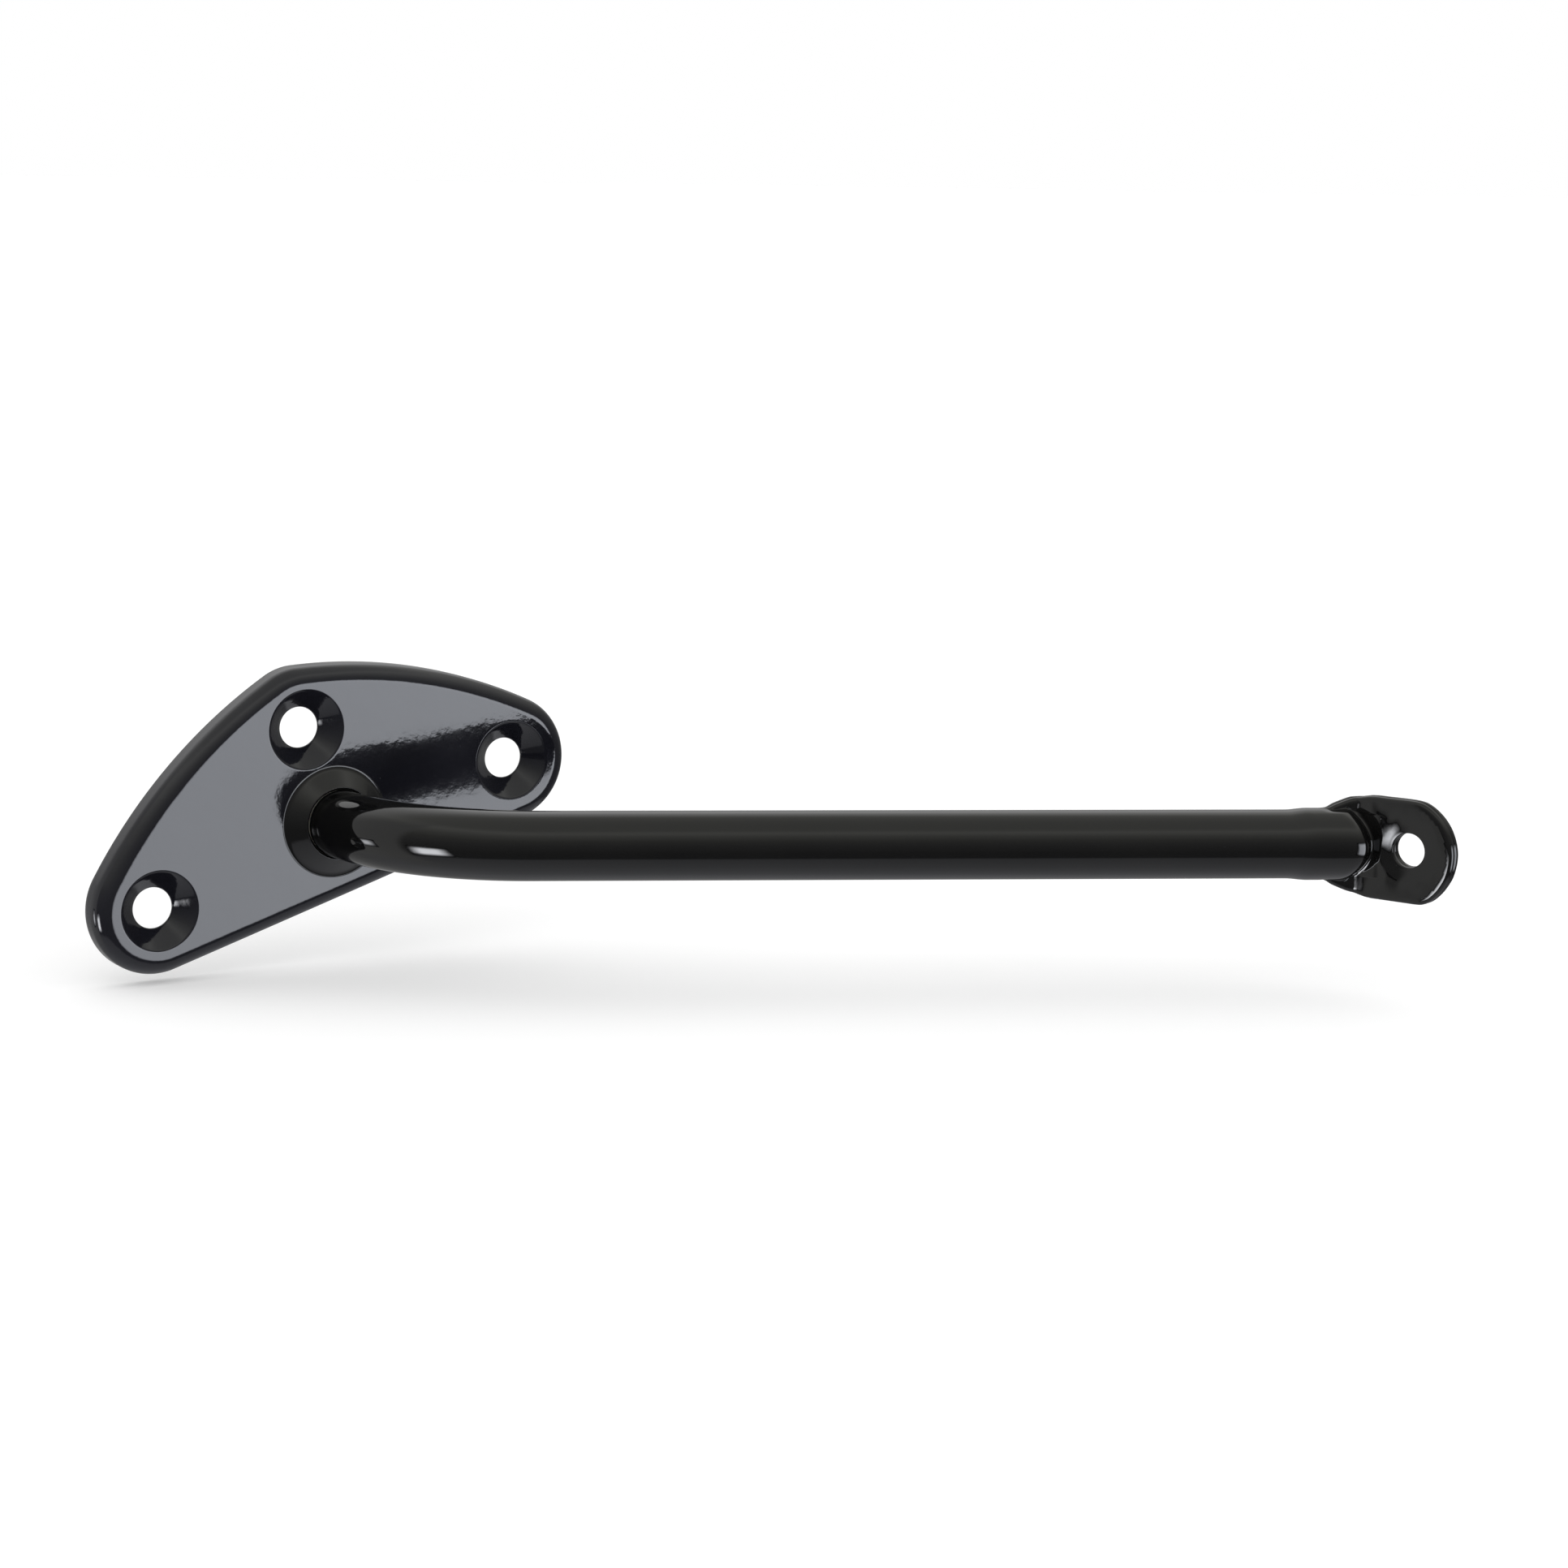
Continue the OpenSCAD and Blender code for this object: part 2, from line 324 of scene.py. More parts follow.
# plate paint: real gloss black, but its base colour is lifted and tinted blue as a painted sheen standing in for the
# soft bluish haze the gloss reflects
plate_paint_painted_sheen = paint("gloss_black_plate", 1.0, (0.0068, 0.0070, 0.0100), peel=0.75, lumps=0.55, rough=(0.05, 0.09), sway=0.22)
paint_collar = paint("gloss_black_collar", 2.0, peel=0.30, rough=(0.07, 0.13))
paint_arm = paint("gloss_black_arm", 3.0, peel=0.16, lumps=0.12, rough=(0.03, 0.06))
m_bush = plastic("bush_plastic")
m_zinc = metal("zinc_plate", (0.62, 0.61, 0.57), 4.0)
m_spring = metal("spring_steel", (0.22, 0.23, 0.26), 7.0, turned=False)


# ---------------------------------------------------------------- wall plate
A, B, C = (np.array(p) for p in SCREWS)
LOBE, TOP, SIDE, EDGE = 13.4, 12.6, 110.0, 3.5


def arc_centre(P, rp, Q, rq, R):
    d = np.linalg.norm(Q - P)
    ex = (Q - P) / d
    ey = np.array([-ex[1], ex[0]])
    a, b = R - rp, R - rq
    x = (a * a - b * b + d * d) / (2 * d)
    return P + ex * x - ey * math.sqrt(a * a - x * x)


def ang(v):
    return math.atan2(v[1], v[0])


O_ab, O_bc = arc_centre(A, LOBE, B, TOP, SIDE), arc_centre(B, TOP, C, LOBE, SIDE)
dn = (A - C) / np.linalg.norm(A - C)
low = ang(np.array([-dn[1], dn[0]]))


def sweep(P, r, a0, a1, n):
    return [(P, r, a0 + (a1 - a0) * i / n) for i in range(n + 1)]


stops = (sweep(A, LOBE, low + 2 * math.pi, ang(A - O_ab), 72)
         + sweep(O_ab, SIDE, ang(A - O_ab), ang(B - O_ab), 48)[1:-1]
         + sweep(B, TOP, ang(B - O_ab), ang(B - O_bc), 26)
         + sweep(O_bc, SIDE, ang(B - O_bc), ang(C - O_bc), 48)[1:-1]
         + sweep(C, LOBE, ang(C - O_bc), low, 72))


def outline(d):
    """Plate outline drawn in by d, counter-clockwise seen from the front."""
    pts = [P + (r - d - 0.02) * np.array([math.cos(a), math.sin(a)]) for P, r, a in stops]
    s, e = pts[-1], pts[0]
    out_n = np.array([math.cos(low), math.sin(low)])
    pts += [s + (e - s) * i / 60 + out_n * 0.04 * (1 - (i / 30 - 1) ** 2) for i in range(1, 60)]
    return [tuple(p) for p in pts[::-1]]


def wall(p, z):
    return (p[0], -z, p[1])


pb = Build()
side_prof = [(0.30, 0.0), (0.09, 0.09), (0.0, 0.30), (0.0, 1.2), (0.0, 2.2), (0.0, T - EDGE - 0.15)]
side_prof += [(EDGE * (1 - math.cos(a)), T - EDGE + EDGE * math.sin(a))
              for a in (math.radians(6 * i) for i in range(1, 16))]
side_prof += [(EDGE + 0.12, T)]
rings = [pb.ring([wall(p, z) for p in outline(d)]) for d, z in side_prof]
for a, b in zip(rings, rings[1:]):
    pb.bridge(a, b)
plate_outer_back, plate_outer_front = rings[0], rings[-1]

# countersunk holes, lips rounded by the paint
NH = 96
cs_prof = [(8.65, T)] + fillet((9.5, T), (8.1, T), (HOLE_R, T - 3.9), 0.85, 6)
cs_prof += [(6.6, T - 1.5), (5.3, T - 2.8)]
cs_prof += fillet((8.1, T), (HOLE_R, T - 3.9), (HOLE_R, 1.0), 0.5, 4)
cs_prof += [(HOLE_R, 2.25), (HOLE_R + 0.08, 2.08), (HOLE_R + 0.25, 2.0)]
hole_front, hole_back = [], []
for c in SCREWS:
    rs = [pb.ring([wall(p, z) for p in circle(c, r, NH)]) for r, z in cs_prof]
    for a, b in zip(rs, rs[1:]):
        pb.bridge(a, b)
    hole_front.append(rs[0])
    hole_back.append(rs[-1])

# bore for the collar and the well behind the swivel
well = [(8.55, T), (8.5, T - 0.1), (8.5, 3.6), (8.6, 3.5), (9.6, 3.5), (11.2, 3.5), (11.45, 3.58), (11.5, 3.8),
        (11.5, 1.5), (11.5, 0.25), (11.57, 0.07), (11.75, 0.0)]
wr = [pb.ring([wall(p, z) for p in circle((AX, AZ), r, 128)]) for r, z in well]
for a, b in zip(wr, wr[1:]):
    pb.bridge(a, b)
t2 = lambda v: (v[0], v[2])
pb.fill(plate_outer_front, hole_front + [wr[0]], t2, lambda c: (c[0], -T, c[1]), step=2.2)

# hollow back, closed off by the land round the swivel
LAND = 14.0
rim = np.array(outline(3.0))
dist = np.hypot(rim[:, 0] - AX, rim[:, 1] - AZ)
far = dist > LAND + 1.3
n = len(rim)
first = next(i for i in range(n) if far[i] and not far[i - 1])
seq = [tuple(rim[(first + k) % n]) for k in range(n) if far[(first + k) % n]]
a_end = math.atan2(seq[-1][1] - AZ, seq[-1][0] - AX)
a_sta = math.atan2(seq[0][1] - AZ, seq[0][0] - AX)
# the way back runs round the land on its inner side, clockwise
while a_end < a_sta:
    a_end += 2 * math.pi
a0, a1 = a_end + 2 * math.pi * 0, a_sta
if a0 - a1 < math.pi:
    a0 += 2 * math.pi
steps = 110
arc = [(AX + LAND * math.cos(a0 + (a1 - a0) * k / steps), AZ + LAND * math.sin(a0 + (a1 - a0) * k / steps))
       for k in range(steps + 1)]
loop = seq + arc
rec_prof = [(-0.25, 0.0), (-0.07, 0.07), (0.0, 0.25), (0.02, 1.5), (0.12, 1.85), (0.42, 2.0)]
rr = [pb.ring([wall(p, z) for p in offset_loop(loop, d)]) for d, z in rec_prof]
for a, b in zip(rr, rr[1:]):
    pb.bridge(a, b)
pb.fill(plate_outer_back, [rr[0], wr[-1]], t2, lambda c: (c[0], 0.0, c[1]))
pb.fill(rr[-1], hole_back, t2, lambda c: (c[0], -2.0 - 0.03 * noise.noise(Vector((c[0] * 0.3, c[1] * 0.3, 1.0))), c[1]),
        step=2.0)
plate = pb.object("plate_body", plate_paint_painted_sheen, "plate")
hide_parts("base_plate")

# ---------------------------------------------------------------- collar
cb = Build()
cup_r = 7.3
foot = fillet((COLLAR_R + 1.5, T + 0.004), (COLLAR_R - 0.02, T + 0.004), (7.75, 9.3), 1.8, 10)
prof = [(6.05, 3.7), (6.2, 3.5), (8.25, 3.5), (8.45, 3.7), (8.5, 6.3), (8.7, 6.42), (10.7, 6.44), (foot[0][0], 6.44)]
prof += foot + [(9.8, foot[-1][1] + (9.3 - foot[-1][1]) * (foot[-1][0] - 9.8) / (foot[-1][0] - 7.75)),
        (8.7, foot[-1][1] + (9.3 - foot[-1][1]) * (foot[-1][0] - 8.7) / (foot[-1][0] - 7.75)), (7.75, 9.3),
        (7.58, 9.44), (7.5, CROWN_Z - 0.015), (7.4, CROWN_Z - 0.01), (7.32, 9.42), (cup_r, 9.3), (cup_r, 8.8),
        (7.2, 8.6), (7.0, 8.5), (6.25, 8.5), (6.07, 8.4), (6.05, 8.2)]
NC = 192
crs = []
for r, z in prof:
    pts = []
    for i in range(NC):
        a = 2 * math.pi * i / NC
        k = 0.0
        if z > 8.6:      # the paint ends unevenly along the seam
            k = 0.05 * noise.noise(Vector((3 * math.cos(a) * 2, 3 * math.sin(a) * 2, z * 1.5)))
        pts.append((AX + (r + k) * math.cos(a), -min(z, CROWN_Z), AZ + (r + k) * math.sin(a)))
    crs.append(cb.ring(pts))
for i in range(len(crs)):
    cb.bridge(crs[i], crs[(i + 1) % len(crs)])
collar = cb.object("collar_body", paint_collar, "plate")
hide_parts("boss_collar")

# ---------------------------------------------------------------- arm
R, RB, BEND, STRAIGHT = 7.0, 44.0, math.radians(64), 165.0
Y0 = -(T + 3.5)                      # where the bend starts
ex_t = np.array([math.sin(BEND), -math.cos(BEND)])
n_t = np.array([-math.cos(BEND), -math.sin(BEND)])
E = np.array([AX + RB * (1 - math.cos(BEND)), Y0 - RB * math.sin(BEND)])
F = E + STRAIGHT * ex_t
FOLD = math.radians(42)

# columns round the tube: front w+ to w-, edge w-, back w- to w+, edge w+
EP = [(0.50, -0.08), (0.20, -0.26), (0.03, -0.56), (0.0, -0.95), (0.05, -1.24), (0.42, -1.42), (0.42, -1.58),
      (0.05, -1.74), (0.0, -2.0), (0.0, -2.5), (0.07, -2.78), (0.22, -2.93)]
NFL, NDO = 12, 60
d2r = math.radians
phi_f = ([d2r(20) * i / NFL for i in range(NFL)]
         + [d2r(20) + d2r(140) * i / NDO for i in range(NDO + 1)]
         + [d2r(160) + d2r(20) * (i + 1) / NFL for i in range(NFL)])
kind_f = [("fl", i / NFL) for i in range(NFL)] + [("do", 0)] * (NDO + 1) + [("fl", 1 - (i + 1) / NFL) for i in range(NFL)]
nE = len(EP)
phi_e1 = [math.pi + d2r(14) * (i + 1) / (nE + 1) for i in range(nE)]
NB = 84
phi_b = [math.pi + d2r(14) + (math.pi - d2r(28)) * i / NB for i in range(NB + 1)]
phi_e2 = [2 * math.pi - d2r(14) + d2r(14) * (i + 1) / (nE + 1) for i in range(nE)]
phis = np.array(phi_f + phi_e1 + phi_b + phi_e2)
NF, NCOL = len(phi_f), len(phis)


def ring_at(c, nrm, rw, rh):
    return [(c[0] + nrm[0] * rh * math.sin(p), c[1] + nrm[1] * rh * math.sin(p), AZ + rw * math.cos(p)) for p in phis]


ab = Build()
arm_rings = []
# start: rounded lip of the cut end
for dr, dy in ((0.42, 0.0), (0.2, 0.05), (0.06, 0.18), (0.0, 0.42)):
    arm_rings.append(ab.ring(ring_at((AX, -tube_start - dy), (-1, 0), R - dr, R - dr)))
arm_rings.append(ab.ring(ring_at((AX, Y0 + 0.2), (-1, 0), R, R)))
NBEND = 90
for i in range(NBEND + 1):
    b = BEND * i / NBEND
    o = 0.017 * math.sin(math.pi * i / NBEND) ** 1.0
    c = (AX + RB * (1 - math.cos(b)), Y0 - RB * math.sin(b))
    arm_rings.append(ab.ring(ring_at(c, (-math.cos(b), -math.sin(b)), R * (1 + o), R * (1 - o))))
S0 = -20.0
for i in range(1, 60):
    s = (STRAIGHT + S0) * i / 60
    c = E + ex_t * s
    arm_rings.append(ab.ring(ring_at(c, n_t, R, R)))

# pressed end, in (u along the tube, h to the front, w up), from F
RF = 1.0
SB = RF * math.tan(FOLD / 2)
ARC = RF * FOLD


def path(s):
    """Front face of the flattened end: point and direction angle at developed length s."""
    if s < -SB:
        return np.array([s, 0.0]), 0.0
    if s < -SB + ARC:
        a = (s + SB) / RF
        return np.array([-SB + RF * math.sin(a), RF * (1 - math.cos(a))]), a
    d = s + SB - ARC
    e = np.array([math.cos(FOLD), math.sin(FOLD)])
    p = np.array([-SB + RF * math.sin(FOLD), RF * (1 - math.cos(FOLD))]) + e * d
    return p, FOLD


def width(s):
    """Half width of the flattened end."""
    return float(np.interp(s, [-6.6, -5.6, -4.6, -2.9, -1.2, 0.8, 2.5, 4.0], [7.35, 7.55, 8.0, 8.7, 9.35, 9.9, 10.25, 10.365]))


UP, DOWN = 0.9793, 1.050             # the pressed end sits a little low
FI, BI = 0.9, 0.5                    # how far the front and back rounds reach in


def to_world(u, h, w):
    p = F + ex_t * u + n_t * h
    return (p[0], p[1], AZ + w)


E0 = 6.4                              # developed length where the tip part starts


def dome_end(w):
    return -0.8 - 3.6 * (w / 7) ** 2


def crease(w):
    return 3.3 - 5.4 * (w / 7) ** 2


def dome_line(w, htop, i):
    """Row i of a line along the dome: u, height, and the developed length reached."""
    un, sc = dome_end(w), crease(w)
    cp = path(sc)[0]
    drop = htop - cp[1]
    foot_l = 0.36 * drop
    if i <= R1:
        u_ = S0 + (un - S0) * (i / R1)
        return u_, htop, u_
    if i <= R1 + R2:
        q_ = (i - R1) / R2
        if q_ <= 0.6:
            a_ = q_ / 0.6 * math.pi / 2
            u_, h_ = un + (cp[0] - un) * math.sin(a_), htop - (drop - foot_l) * (1 - math.cos(a_))
        else:
            t_ = (q_ - 0.6) / 0.4
            c2 = path(sc + foot_l * 1.1)[0]
            u_ = cp[0] * (1 - t_ * t_) + c2[0] * t_ * t_
            h_ = (cp[1] + foot_l) * (1 - t_) ** 2 + cp[1] * 2 * t_ * (1 - t_) + c2[1] * t_ * t_
        return u_, h_, u_
    s_ = sc + foot_l * 1.1
    s_ += (E0 - s_) * (i - R1 - R2) / R3
    c3 = path(s_)[0]
    return c3[0], c3[1], s_


W20, H20 = R * math.cos(math.radians(20)), R * math.sin(math.radians(20))
R1, R2, R3 = 40, 20, 16
rows = []
for i in range(1, R1 + R2 + R3 + 1):
    row = []
    if i <= R1:
        k = i / R1
        s_edge = S0 + (-4.6 - S0) * k
    elif i <= R1 + R2:
        s_edge = -4.6 + 3.2 * (i - R1) / R2
    else:
        s_edge = -1.4 + (E0 + 1.4) * (i - R1 - R2) / R3
    W0 = width(s_edge)
    (pc, th) = path(s_edge)
    N = np.array([-math.sin(th), math.cos(th)])
    kf = float(smooth01((s_edge + 7.6) / 3.6))
    kb = float(smooth01((s_edge + 11.0) / 12.5))
    # the dome's lowest line, which the flange beside it runs up to
    _, h20, s20 = dome_line(W20, H20, i)
    if i > R1 + R2:
        h20 = 0.0
    swell = 1 + 0.05 * float(smooth01((s_edge + 14.5) / 4.5))      # the tube spreads before the crimp
    for j, p in enumerate(phis):
        tw, thh = R * math.cos(p) * swell, R * math.sin(p)
        sg = 1 if math.cos(p) >= 0 else -1
        Wd = W0 * (UP if sg > 0 else DOWN)
        Wf = Wd - FI
        if j < NF and kind_f[j][0] == "do":
            wn = R * math.cos(p)
            u, h, s = dome_line(wn, R * math.sin(p), i)
            if i <= R1 + R2:
                row.append((u, h, wn * swell))
            else:
                q = (i - R1 - R2) / R3
                wt = 9.46 * (wn / 6.578) * 0.70
                row.append((u, h, wn * swell + (wt - wn * swell) * float(smooth01(q))))
        elif j < NF:
            q = kind_f[j][1]
            # flange in front view: flat towards the edge, rising into the dome
            s_loc = s_edge + (s20 - s_edge) * q ** 1.5
            pl_, th_ = path(s_loc)
            N_ = np.array([-math.sin(th_), math.cos(th_)])
            w_in = W20 * swell
            w_in2 = w_in + (9.46 * 0.70 - w_in) * float(smooth01((s_edge + 1.4) / (E0 + 1.4)))
            w_fl = w_in2 + (max(Wf, w_in2 + 0.05) - w_in2) * (1 - q) ** 1.0
            pt = pl_ + N_ * (h20 * q ** 3.5)
            u = s_loc * (1 - kf) + pt[0] * kf
            h = thh * (1 - kf) + pt[1] * kf
            w = tw * (1 - kf) + sg * w_fl * kf
            row.append((u, h, w))
        elif NF <= j < NF + nE or j >= NF + nE + NB + 1:
            m = j - NF if j < NF + nE else nE - 1 - (j - NF - nE - NB - 1)
            dw, dh = EP[m]
            pt = pc + N * dh
            w_s = sg * (max(Wd, 7.3) - dw)
            u = s_edge * (1 - kf) + pt[0] * kf
            h = thh * (1 - kf) + pt[1] * kf
            row.append((u, h, tw * (1 - kf) + w_s * kf))
        else:
            g = (j - NF - nE) / NB * 2 - 1          # -1 .. 1
            pt = pc + N * -3.0
            u = s_edge * (1 - kb) + pt[0] * kb
            h = thh * (1 - kb) + pt[1] * kb
            tb = R * math.cos(p)
            wb = (W0 * UP - BI) * (g + 1) / 2 - (W0 * DOWN - BI) * (1 - g) / 2
            row.append((u, h, tb * (1 - kb) + wb * kb))
    rows.append(row)
G = np.array(rows)                                 # rows x columns x 3
# front flange rows follow the dome rows beside them, so the crease reads as one line
for it in range(4):
    H = G.copy()
    for i in range(R1 - 6, R1 + R2 + R3 - 4):
        nb = (G[i - 1] + G[i + 1] + np.roll(G[i], 1, 0) + np.roll(G[i], -1, 0)) / 4
        k = 0.42 if i > R1 + R2 - 3 else 0.25
        H[i, :NF] = G[i, :NF] * (1 - k) + nb[:NF] * k
        if i > R1 - 4:
            H[i, NF + nE:NF + nE + NB + 1] = (G[i] * 0.6 + nb * 0.4)[NF + nE:NF + nE + NB + 1]
    G = H
last = None
for i in range(len(G)):
    arm_rings.append(ab.ring([to_world(*q) for q in G[i]]))
for a, b in zip(arm_rings, arm_rings[1:]):
    ab.bridge(a, b)
end = arm_rings[-1]

# tip: outline in the plane of the flattened end, e from the fold, w up
ctrl = [(E0, 10.15), (8.0, 10.17), (10.0, 10.19), (12.0, 10.17), (13.5, 10.07), (14.9, 9.75), (16.6, 8.88), (18.3, 7.55),
        (19.6, 6.1), (20.6, 4.5), (21.4, 2.5), (21.8, 0.5), (21.8, -1.3), (21.5, -3.2), (20.95, -4.95), (20.2, -6.35),
        (19.3, -7.7), (18.2, -8.95), (16.9, -10.05), (15.4, -10.72), (14.0, -10.88), (12.0, -10.89), (9.5, -10.885),
        (8.0, -10.885), (E0, -10.883)]


def catmull(P, per):
    P = [np.array(p, float) for p in P]
    P = [2 * P[0] - P[1]] + P + [2 * P[-1] - P[-2]]
    out = []
    for i in range(1, len(P) - 2):
        for k in range(per):
            t = k / per
            out.append(0.5 * ((2 * P[i]) + (P[i + 1] - P[i - 1]) * t
                              + (2 * P[i - 1] - 5 * P[i] + 4 * P[i + 1] - P[i + 2]) * t * t
                              + (3 * P[i] - P[i - 1] - 3 * P[i + 1] + P[i + 2]) * t ** 3))
    out.append(P[-2])
    return out


tipline = np.array(catmull(ctrl, 6))
tan = np.gradient(tipline, axis=0)
tan /= np.linalg.norm(tan, axis=1)[:, None]
tan[0], tan[-1] = (1, 0), (-1, 0)
inw = np.stack([tan[:, 1], -tan[:, 0]], 1)        # towards the middle
tip_p, tip_a = path(E0)
e_dir = np.array([math.cos(FOLD), math.sin(FOLD)])
e_nrm = np.array([-math.sin(FOLD), math.cos(FOLD)])


def tip_world(e, w, h):
    q = tip_p + e_dir * (e - E0) + e_nrm * h
    return to_world(q[0], q[1], w)


full = [(FI, 0.0)] + EP + [(BI, -3.0)]
fi, bi = list(range(NF)), list(range(NF + nE, NF + nE + NB + 1))
first_sec = [end[0]] + [end[j] for j in range(NCOL - 1, NF + nE + NB, -1)] + [end[bi[-1]]]
last_sec = [end[NF - 1]] + [end[j] for j in range(NF, NF + nE)] + [end[bi[0]]]
secs = [first_sec]
for k in range(1, len(tipline) - 1):
    secs.append(ab.ring([tip_world(tipline[k][0] + inw[k][0] * d, tipline[k][1] + inw[k][1] * d, h) for d, h in full]))
secs.append(last_sec)
for a, b in zip(secs, secs[1:]):
    ab.bridge(a, b, closed=False)
eye = np.array(mounts["eye"]["pos_m"]) * 1000
e1w = ex_t * math.cos(FOLD) + n_t * math.sin(FOLD)
eye_e = float((eye[:2] - F) @ e1w)                # 12 mm from the fold
org = np.array(tip_world(0, 0, 0))
ew = np.array(tip_world(1, 0, 0)) - org


def tip2(v):
    d = np.array(v) - org
    return (float(d @ ew), v[2] - AZ)


# the flat path runs a little short of the fold point, so measure from the real lines
eye_prof = [(EYE_R + 1.2, 0.0), (EYE_R + 0.7, 0.0)] + fillet((EYE_R + 2, 0), (EYE_R, 0), (EYE_R, -2), 0.28, 6)
eye_prof += [(EYE_R, -1.3), (EYE_R + 0.14, -1.45), (EYE_R + 0.14, -1.55), (EYE_R, -1.7)]
eye_prof += fillet((EYE_R, -1), (EYE_R, -3), (EYE_R + 2, -3), 0.25, 4) + [(EYE_R + 0.8, -3.0)]
eye_c = tip2(eye)[0]
es = [ab.ring([tip_world(p[0], p[1], h) for p in circle((eye_c, 0.0), r, 80)]) for r, h in eye_prof]
for a, b in zip(es, es[1:]):
    ab.bridge(a, b)
n_before = len(ab.v)
front_loop = [end[j] for j in range(NF)] + [s[0] for s in secs[-2:0:-1]]
ab.fill(front_loop, [es[0]], tip2, lambda c: tip_world(c[0], c[1], 0.0), step=0.55, keep=0.75)
n_front = len(ab.v)
back_loop = [end[j] for j in bi] + [s[-1] for s in secs[1:-1]]
ab.fill(back_loop, [es[-1]], tip2, lambda c: tip_world(c[0], c[1], -3.0), step=0.8, keep=0.75)

# hammered look of the pressed faces: shallow dents and a dished land round the hole
V = np.array(ab.v)
tip_front = [i for r_ in arm_rings[-(R3 + 2):] for i in r_[:NF]] + list(range(n_before, n_front))
nn = n_t * math.cos(FOLD) - ex_t * math.sin(FOLD)
edge_pts = np.array([ab.v[s[0]] for s in secs])
eye_front = [i for r_, (_, h_) in zip(es, eye_prof) if h_ > -1.0 for i in r_]
for i in tip_front + eye_front:
    e_, w_ = tip2(ab.v[i])
    d_edge = np.min(np.linalg.norm(edge_pts - V[i], axis=1))
    d_eye = math.hypot(e_ - eye_c, w_)
    k = float(smooth01((d_edge - 0.4) / 3.0))
    kc = float(smooth01((e_ - 4.4) / 2.4)) if abs(w_) < 6.5 else float(smooth01((e_ - 0.5) / 3.0))
    dish = -0.30 * (1 - float(smooth01((d_eye - EYE_R) / 3.6)))
    ke = float(smooth01((d_eye - EYE_R - 0.6) / 2.5))
    dent = 0.11 * noise.noise(Vector((e_ * 0.17, w_ * 0.15, 4.1))) + 0.035 * noise.noise(Vector((e_ * 0.5, w_ * 0.45, 9.3)))
    h = dish * kc + (dent - 0.03) * k * ke * kc
    V[i, 0] += nn[0] * h
    V[i, 1] += nn[1] * h
ab.v = [tuple(v) for v in V]

# bore of the tube, ends in a rounded pocket before the crimp
NI = 64
phi_i = [2 * math.pi * i / NI for i in range(NI)]


def in_ring(c, nrm, r):
    return ab.ring([(c[0] + nrm[0] * r * math.sin(p), c[1] + nrm[1] * r * math.sin(p), AZ + r * math.cos(p)) for p in phi_i])


inner = [in_ring((AX, -tube_start), (-1, 0), 5.7), in_ring((AX, -tube_start - 0.2), (-1, 0), 5.5),
         in_ring((AX, Y0), (-1, 0), 5.5)]
for i in range(1, 41):
    b = BEND * i / 40
    inner.append(in_ring((AX + RB * (1 - math.cos(b)), Y0 - RB * math.sin(b)), (-math.cos(b), -math.sin(b)), 5.5))
for i in range(1, 12):
    inner.append(in_ring(E + ex_t * (STRAIGHT - 18) * i / 11, n_t, 5.5))
for a in range(1, 9):
    t = math.radians(10 * a)
    inner.append(in_ring(E + ex_t * (STRAIGHT - 18 + 5.5 * math.sin(t)), n_t, 5.5 * math.cos(t)))
for a, b in zip(inner, inner[1:]):
    ab.bridge(a, b)
ab.f.append(tuple(inner[-1]))
# end face between the two
s0 = arm_rings[0]
ab.fill(s0, [inner[0]], lambda v: (v[0], v[2]), lambda c: (c[0], -tube_start, c[1]))
arm = ab.object("arm_body", paint_arm, "arm")
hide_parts("arm_tube")

# ---------------------------------------------------------------- small parts of the swivel
for name, m in (("front_bush", m_bush), ("rear_bush", m_bush), ("pivot_spigot", m_zinc), ("thrust_washer", m_zinc),
                ("disc_spring", m_spring), ("retaining_ring", m_spring)):
    o = frame["nodes"][name]
    o.data.materials.clear()
    o.data.materials.append(m)

# ---------------------------------------------------------------- camera
cam_d = bpy.data.cameras.new("camera")
cam = bpy.data.objects.new("camera", cam_d)
bpy.context.scene.collection.objects.link(cam)
r = Vector((0.8505522, -0.5256494, 0.0159245))
u = Vector((0.0744950, 0.1504053, 0.9858137))
f = Vector((0.5205876, 0.8372998, -0.1670858))
m3 = Matrix((r, u, -f)).transposed()
cam.matrix_world = Matrix.Translation((-0.310829, -0.680400, 0.134082)) @ m3.to_4x4()
cam_d.sensor_width = 36.0
cam_d.lens = 83.855
cam_d.clip_start, cam_d.clip_end = 0.01, 30
cam_d.dof.use_dof = False
bpy.context.scene.camera = cam

# ---------------------------------------------------------------- stage
fm, nt, b = mat_new("floor_paper")
tc = node(nt, "ShaderNodeTexCoord")
fn = noise_tex(nt, 6, 3, 0.5, tc.outputs["Object"])
nt.links.new(ramp(nt, fn.outputs["Fac"], [(0.3, 0.90), (0.7, 0.93)]), b.inputs["Base Color"])
b.inputs["Roughness"].default_value = 0.9
b.inputs["Emission Color"].default_value = (1, 1, 1, 1)
b.inputs["Emission Strength"].default_value = 0.13
me = bpy.data.meshes.new("floor")
h = -0.0305
me.from_pydata([(-25, -25, h), (25, -25, h), (25, 25, h), (-25, 25, h)], [], [(0, 1, 2, 3)])
me.materials.append(fm)
floor = bpy.data.objects.new("floor", me)
bpy.context.scene.collection.objects.link(floor)
floor.visible_glossy = False

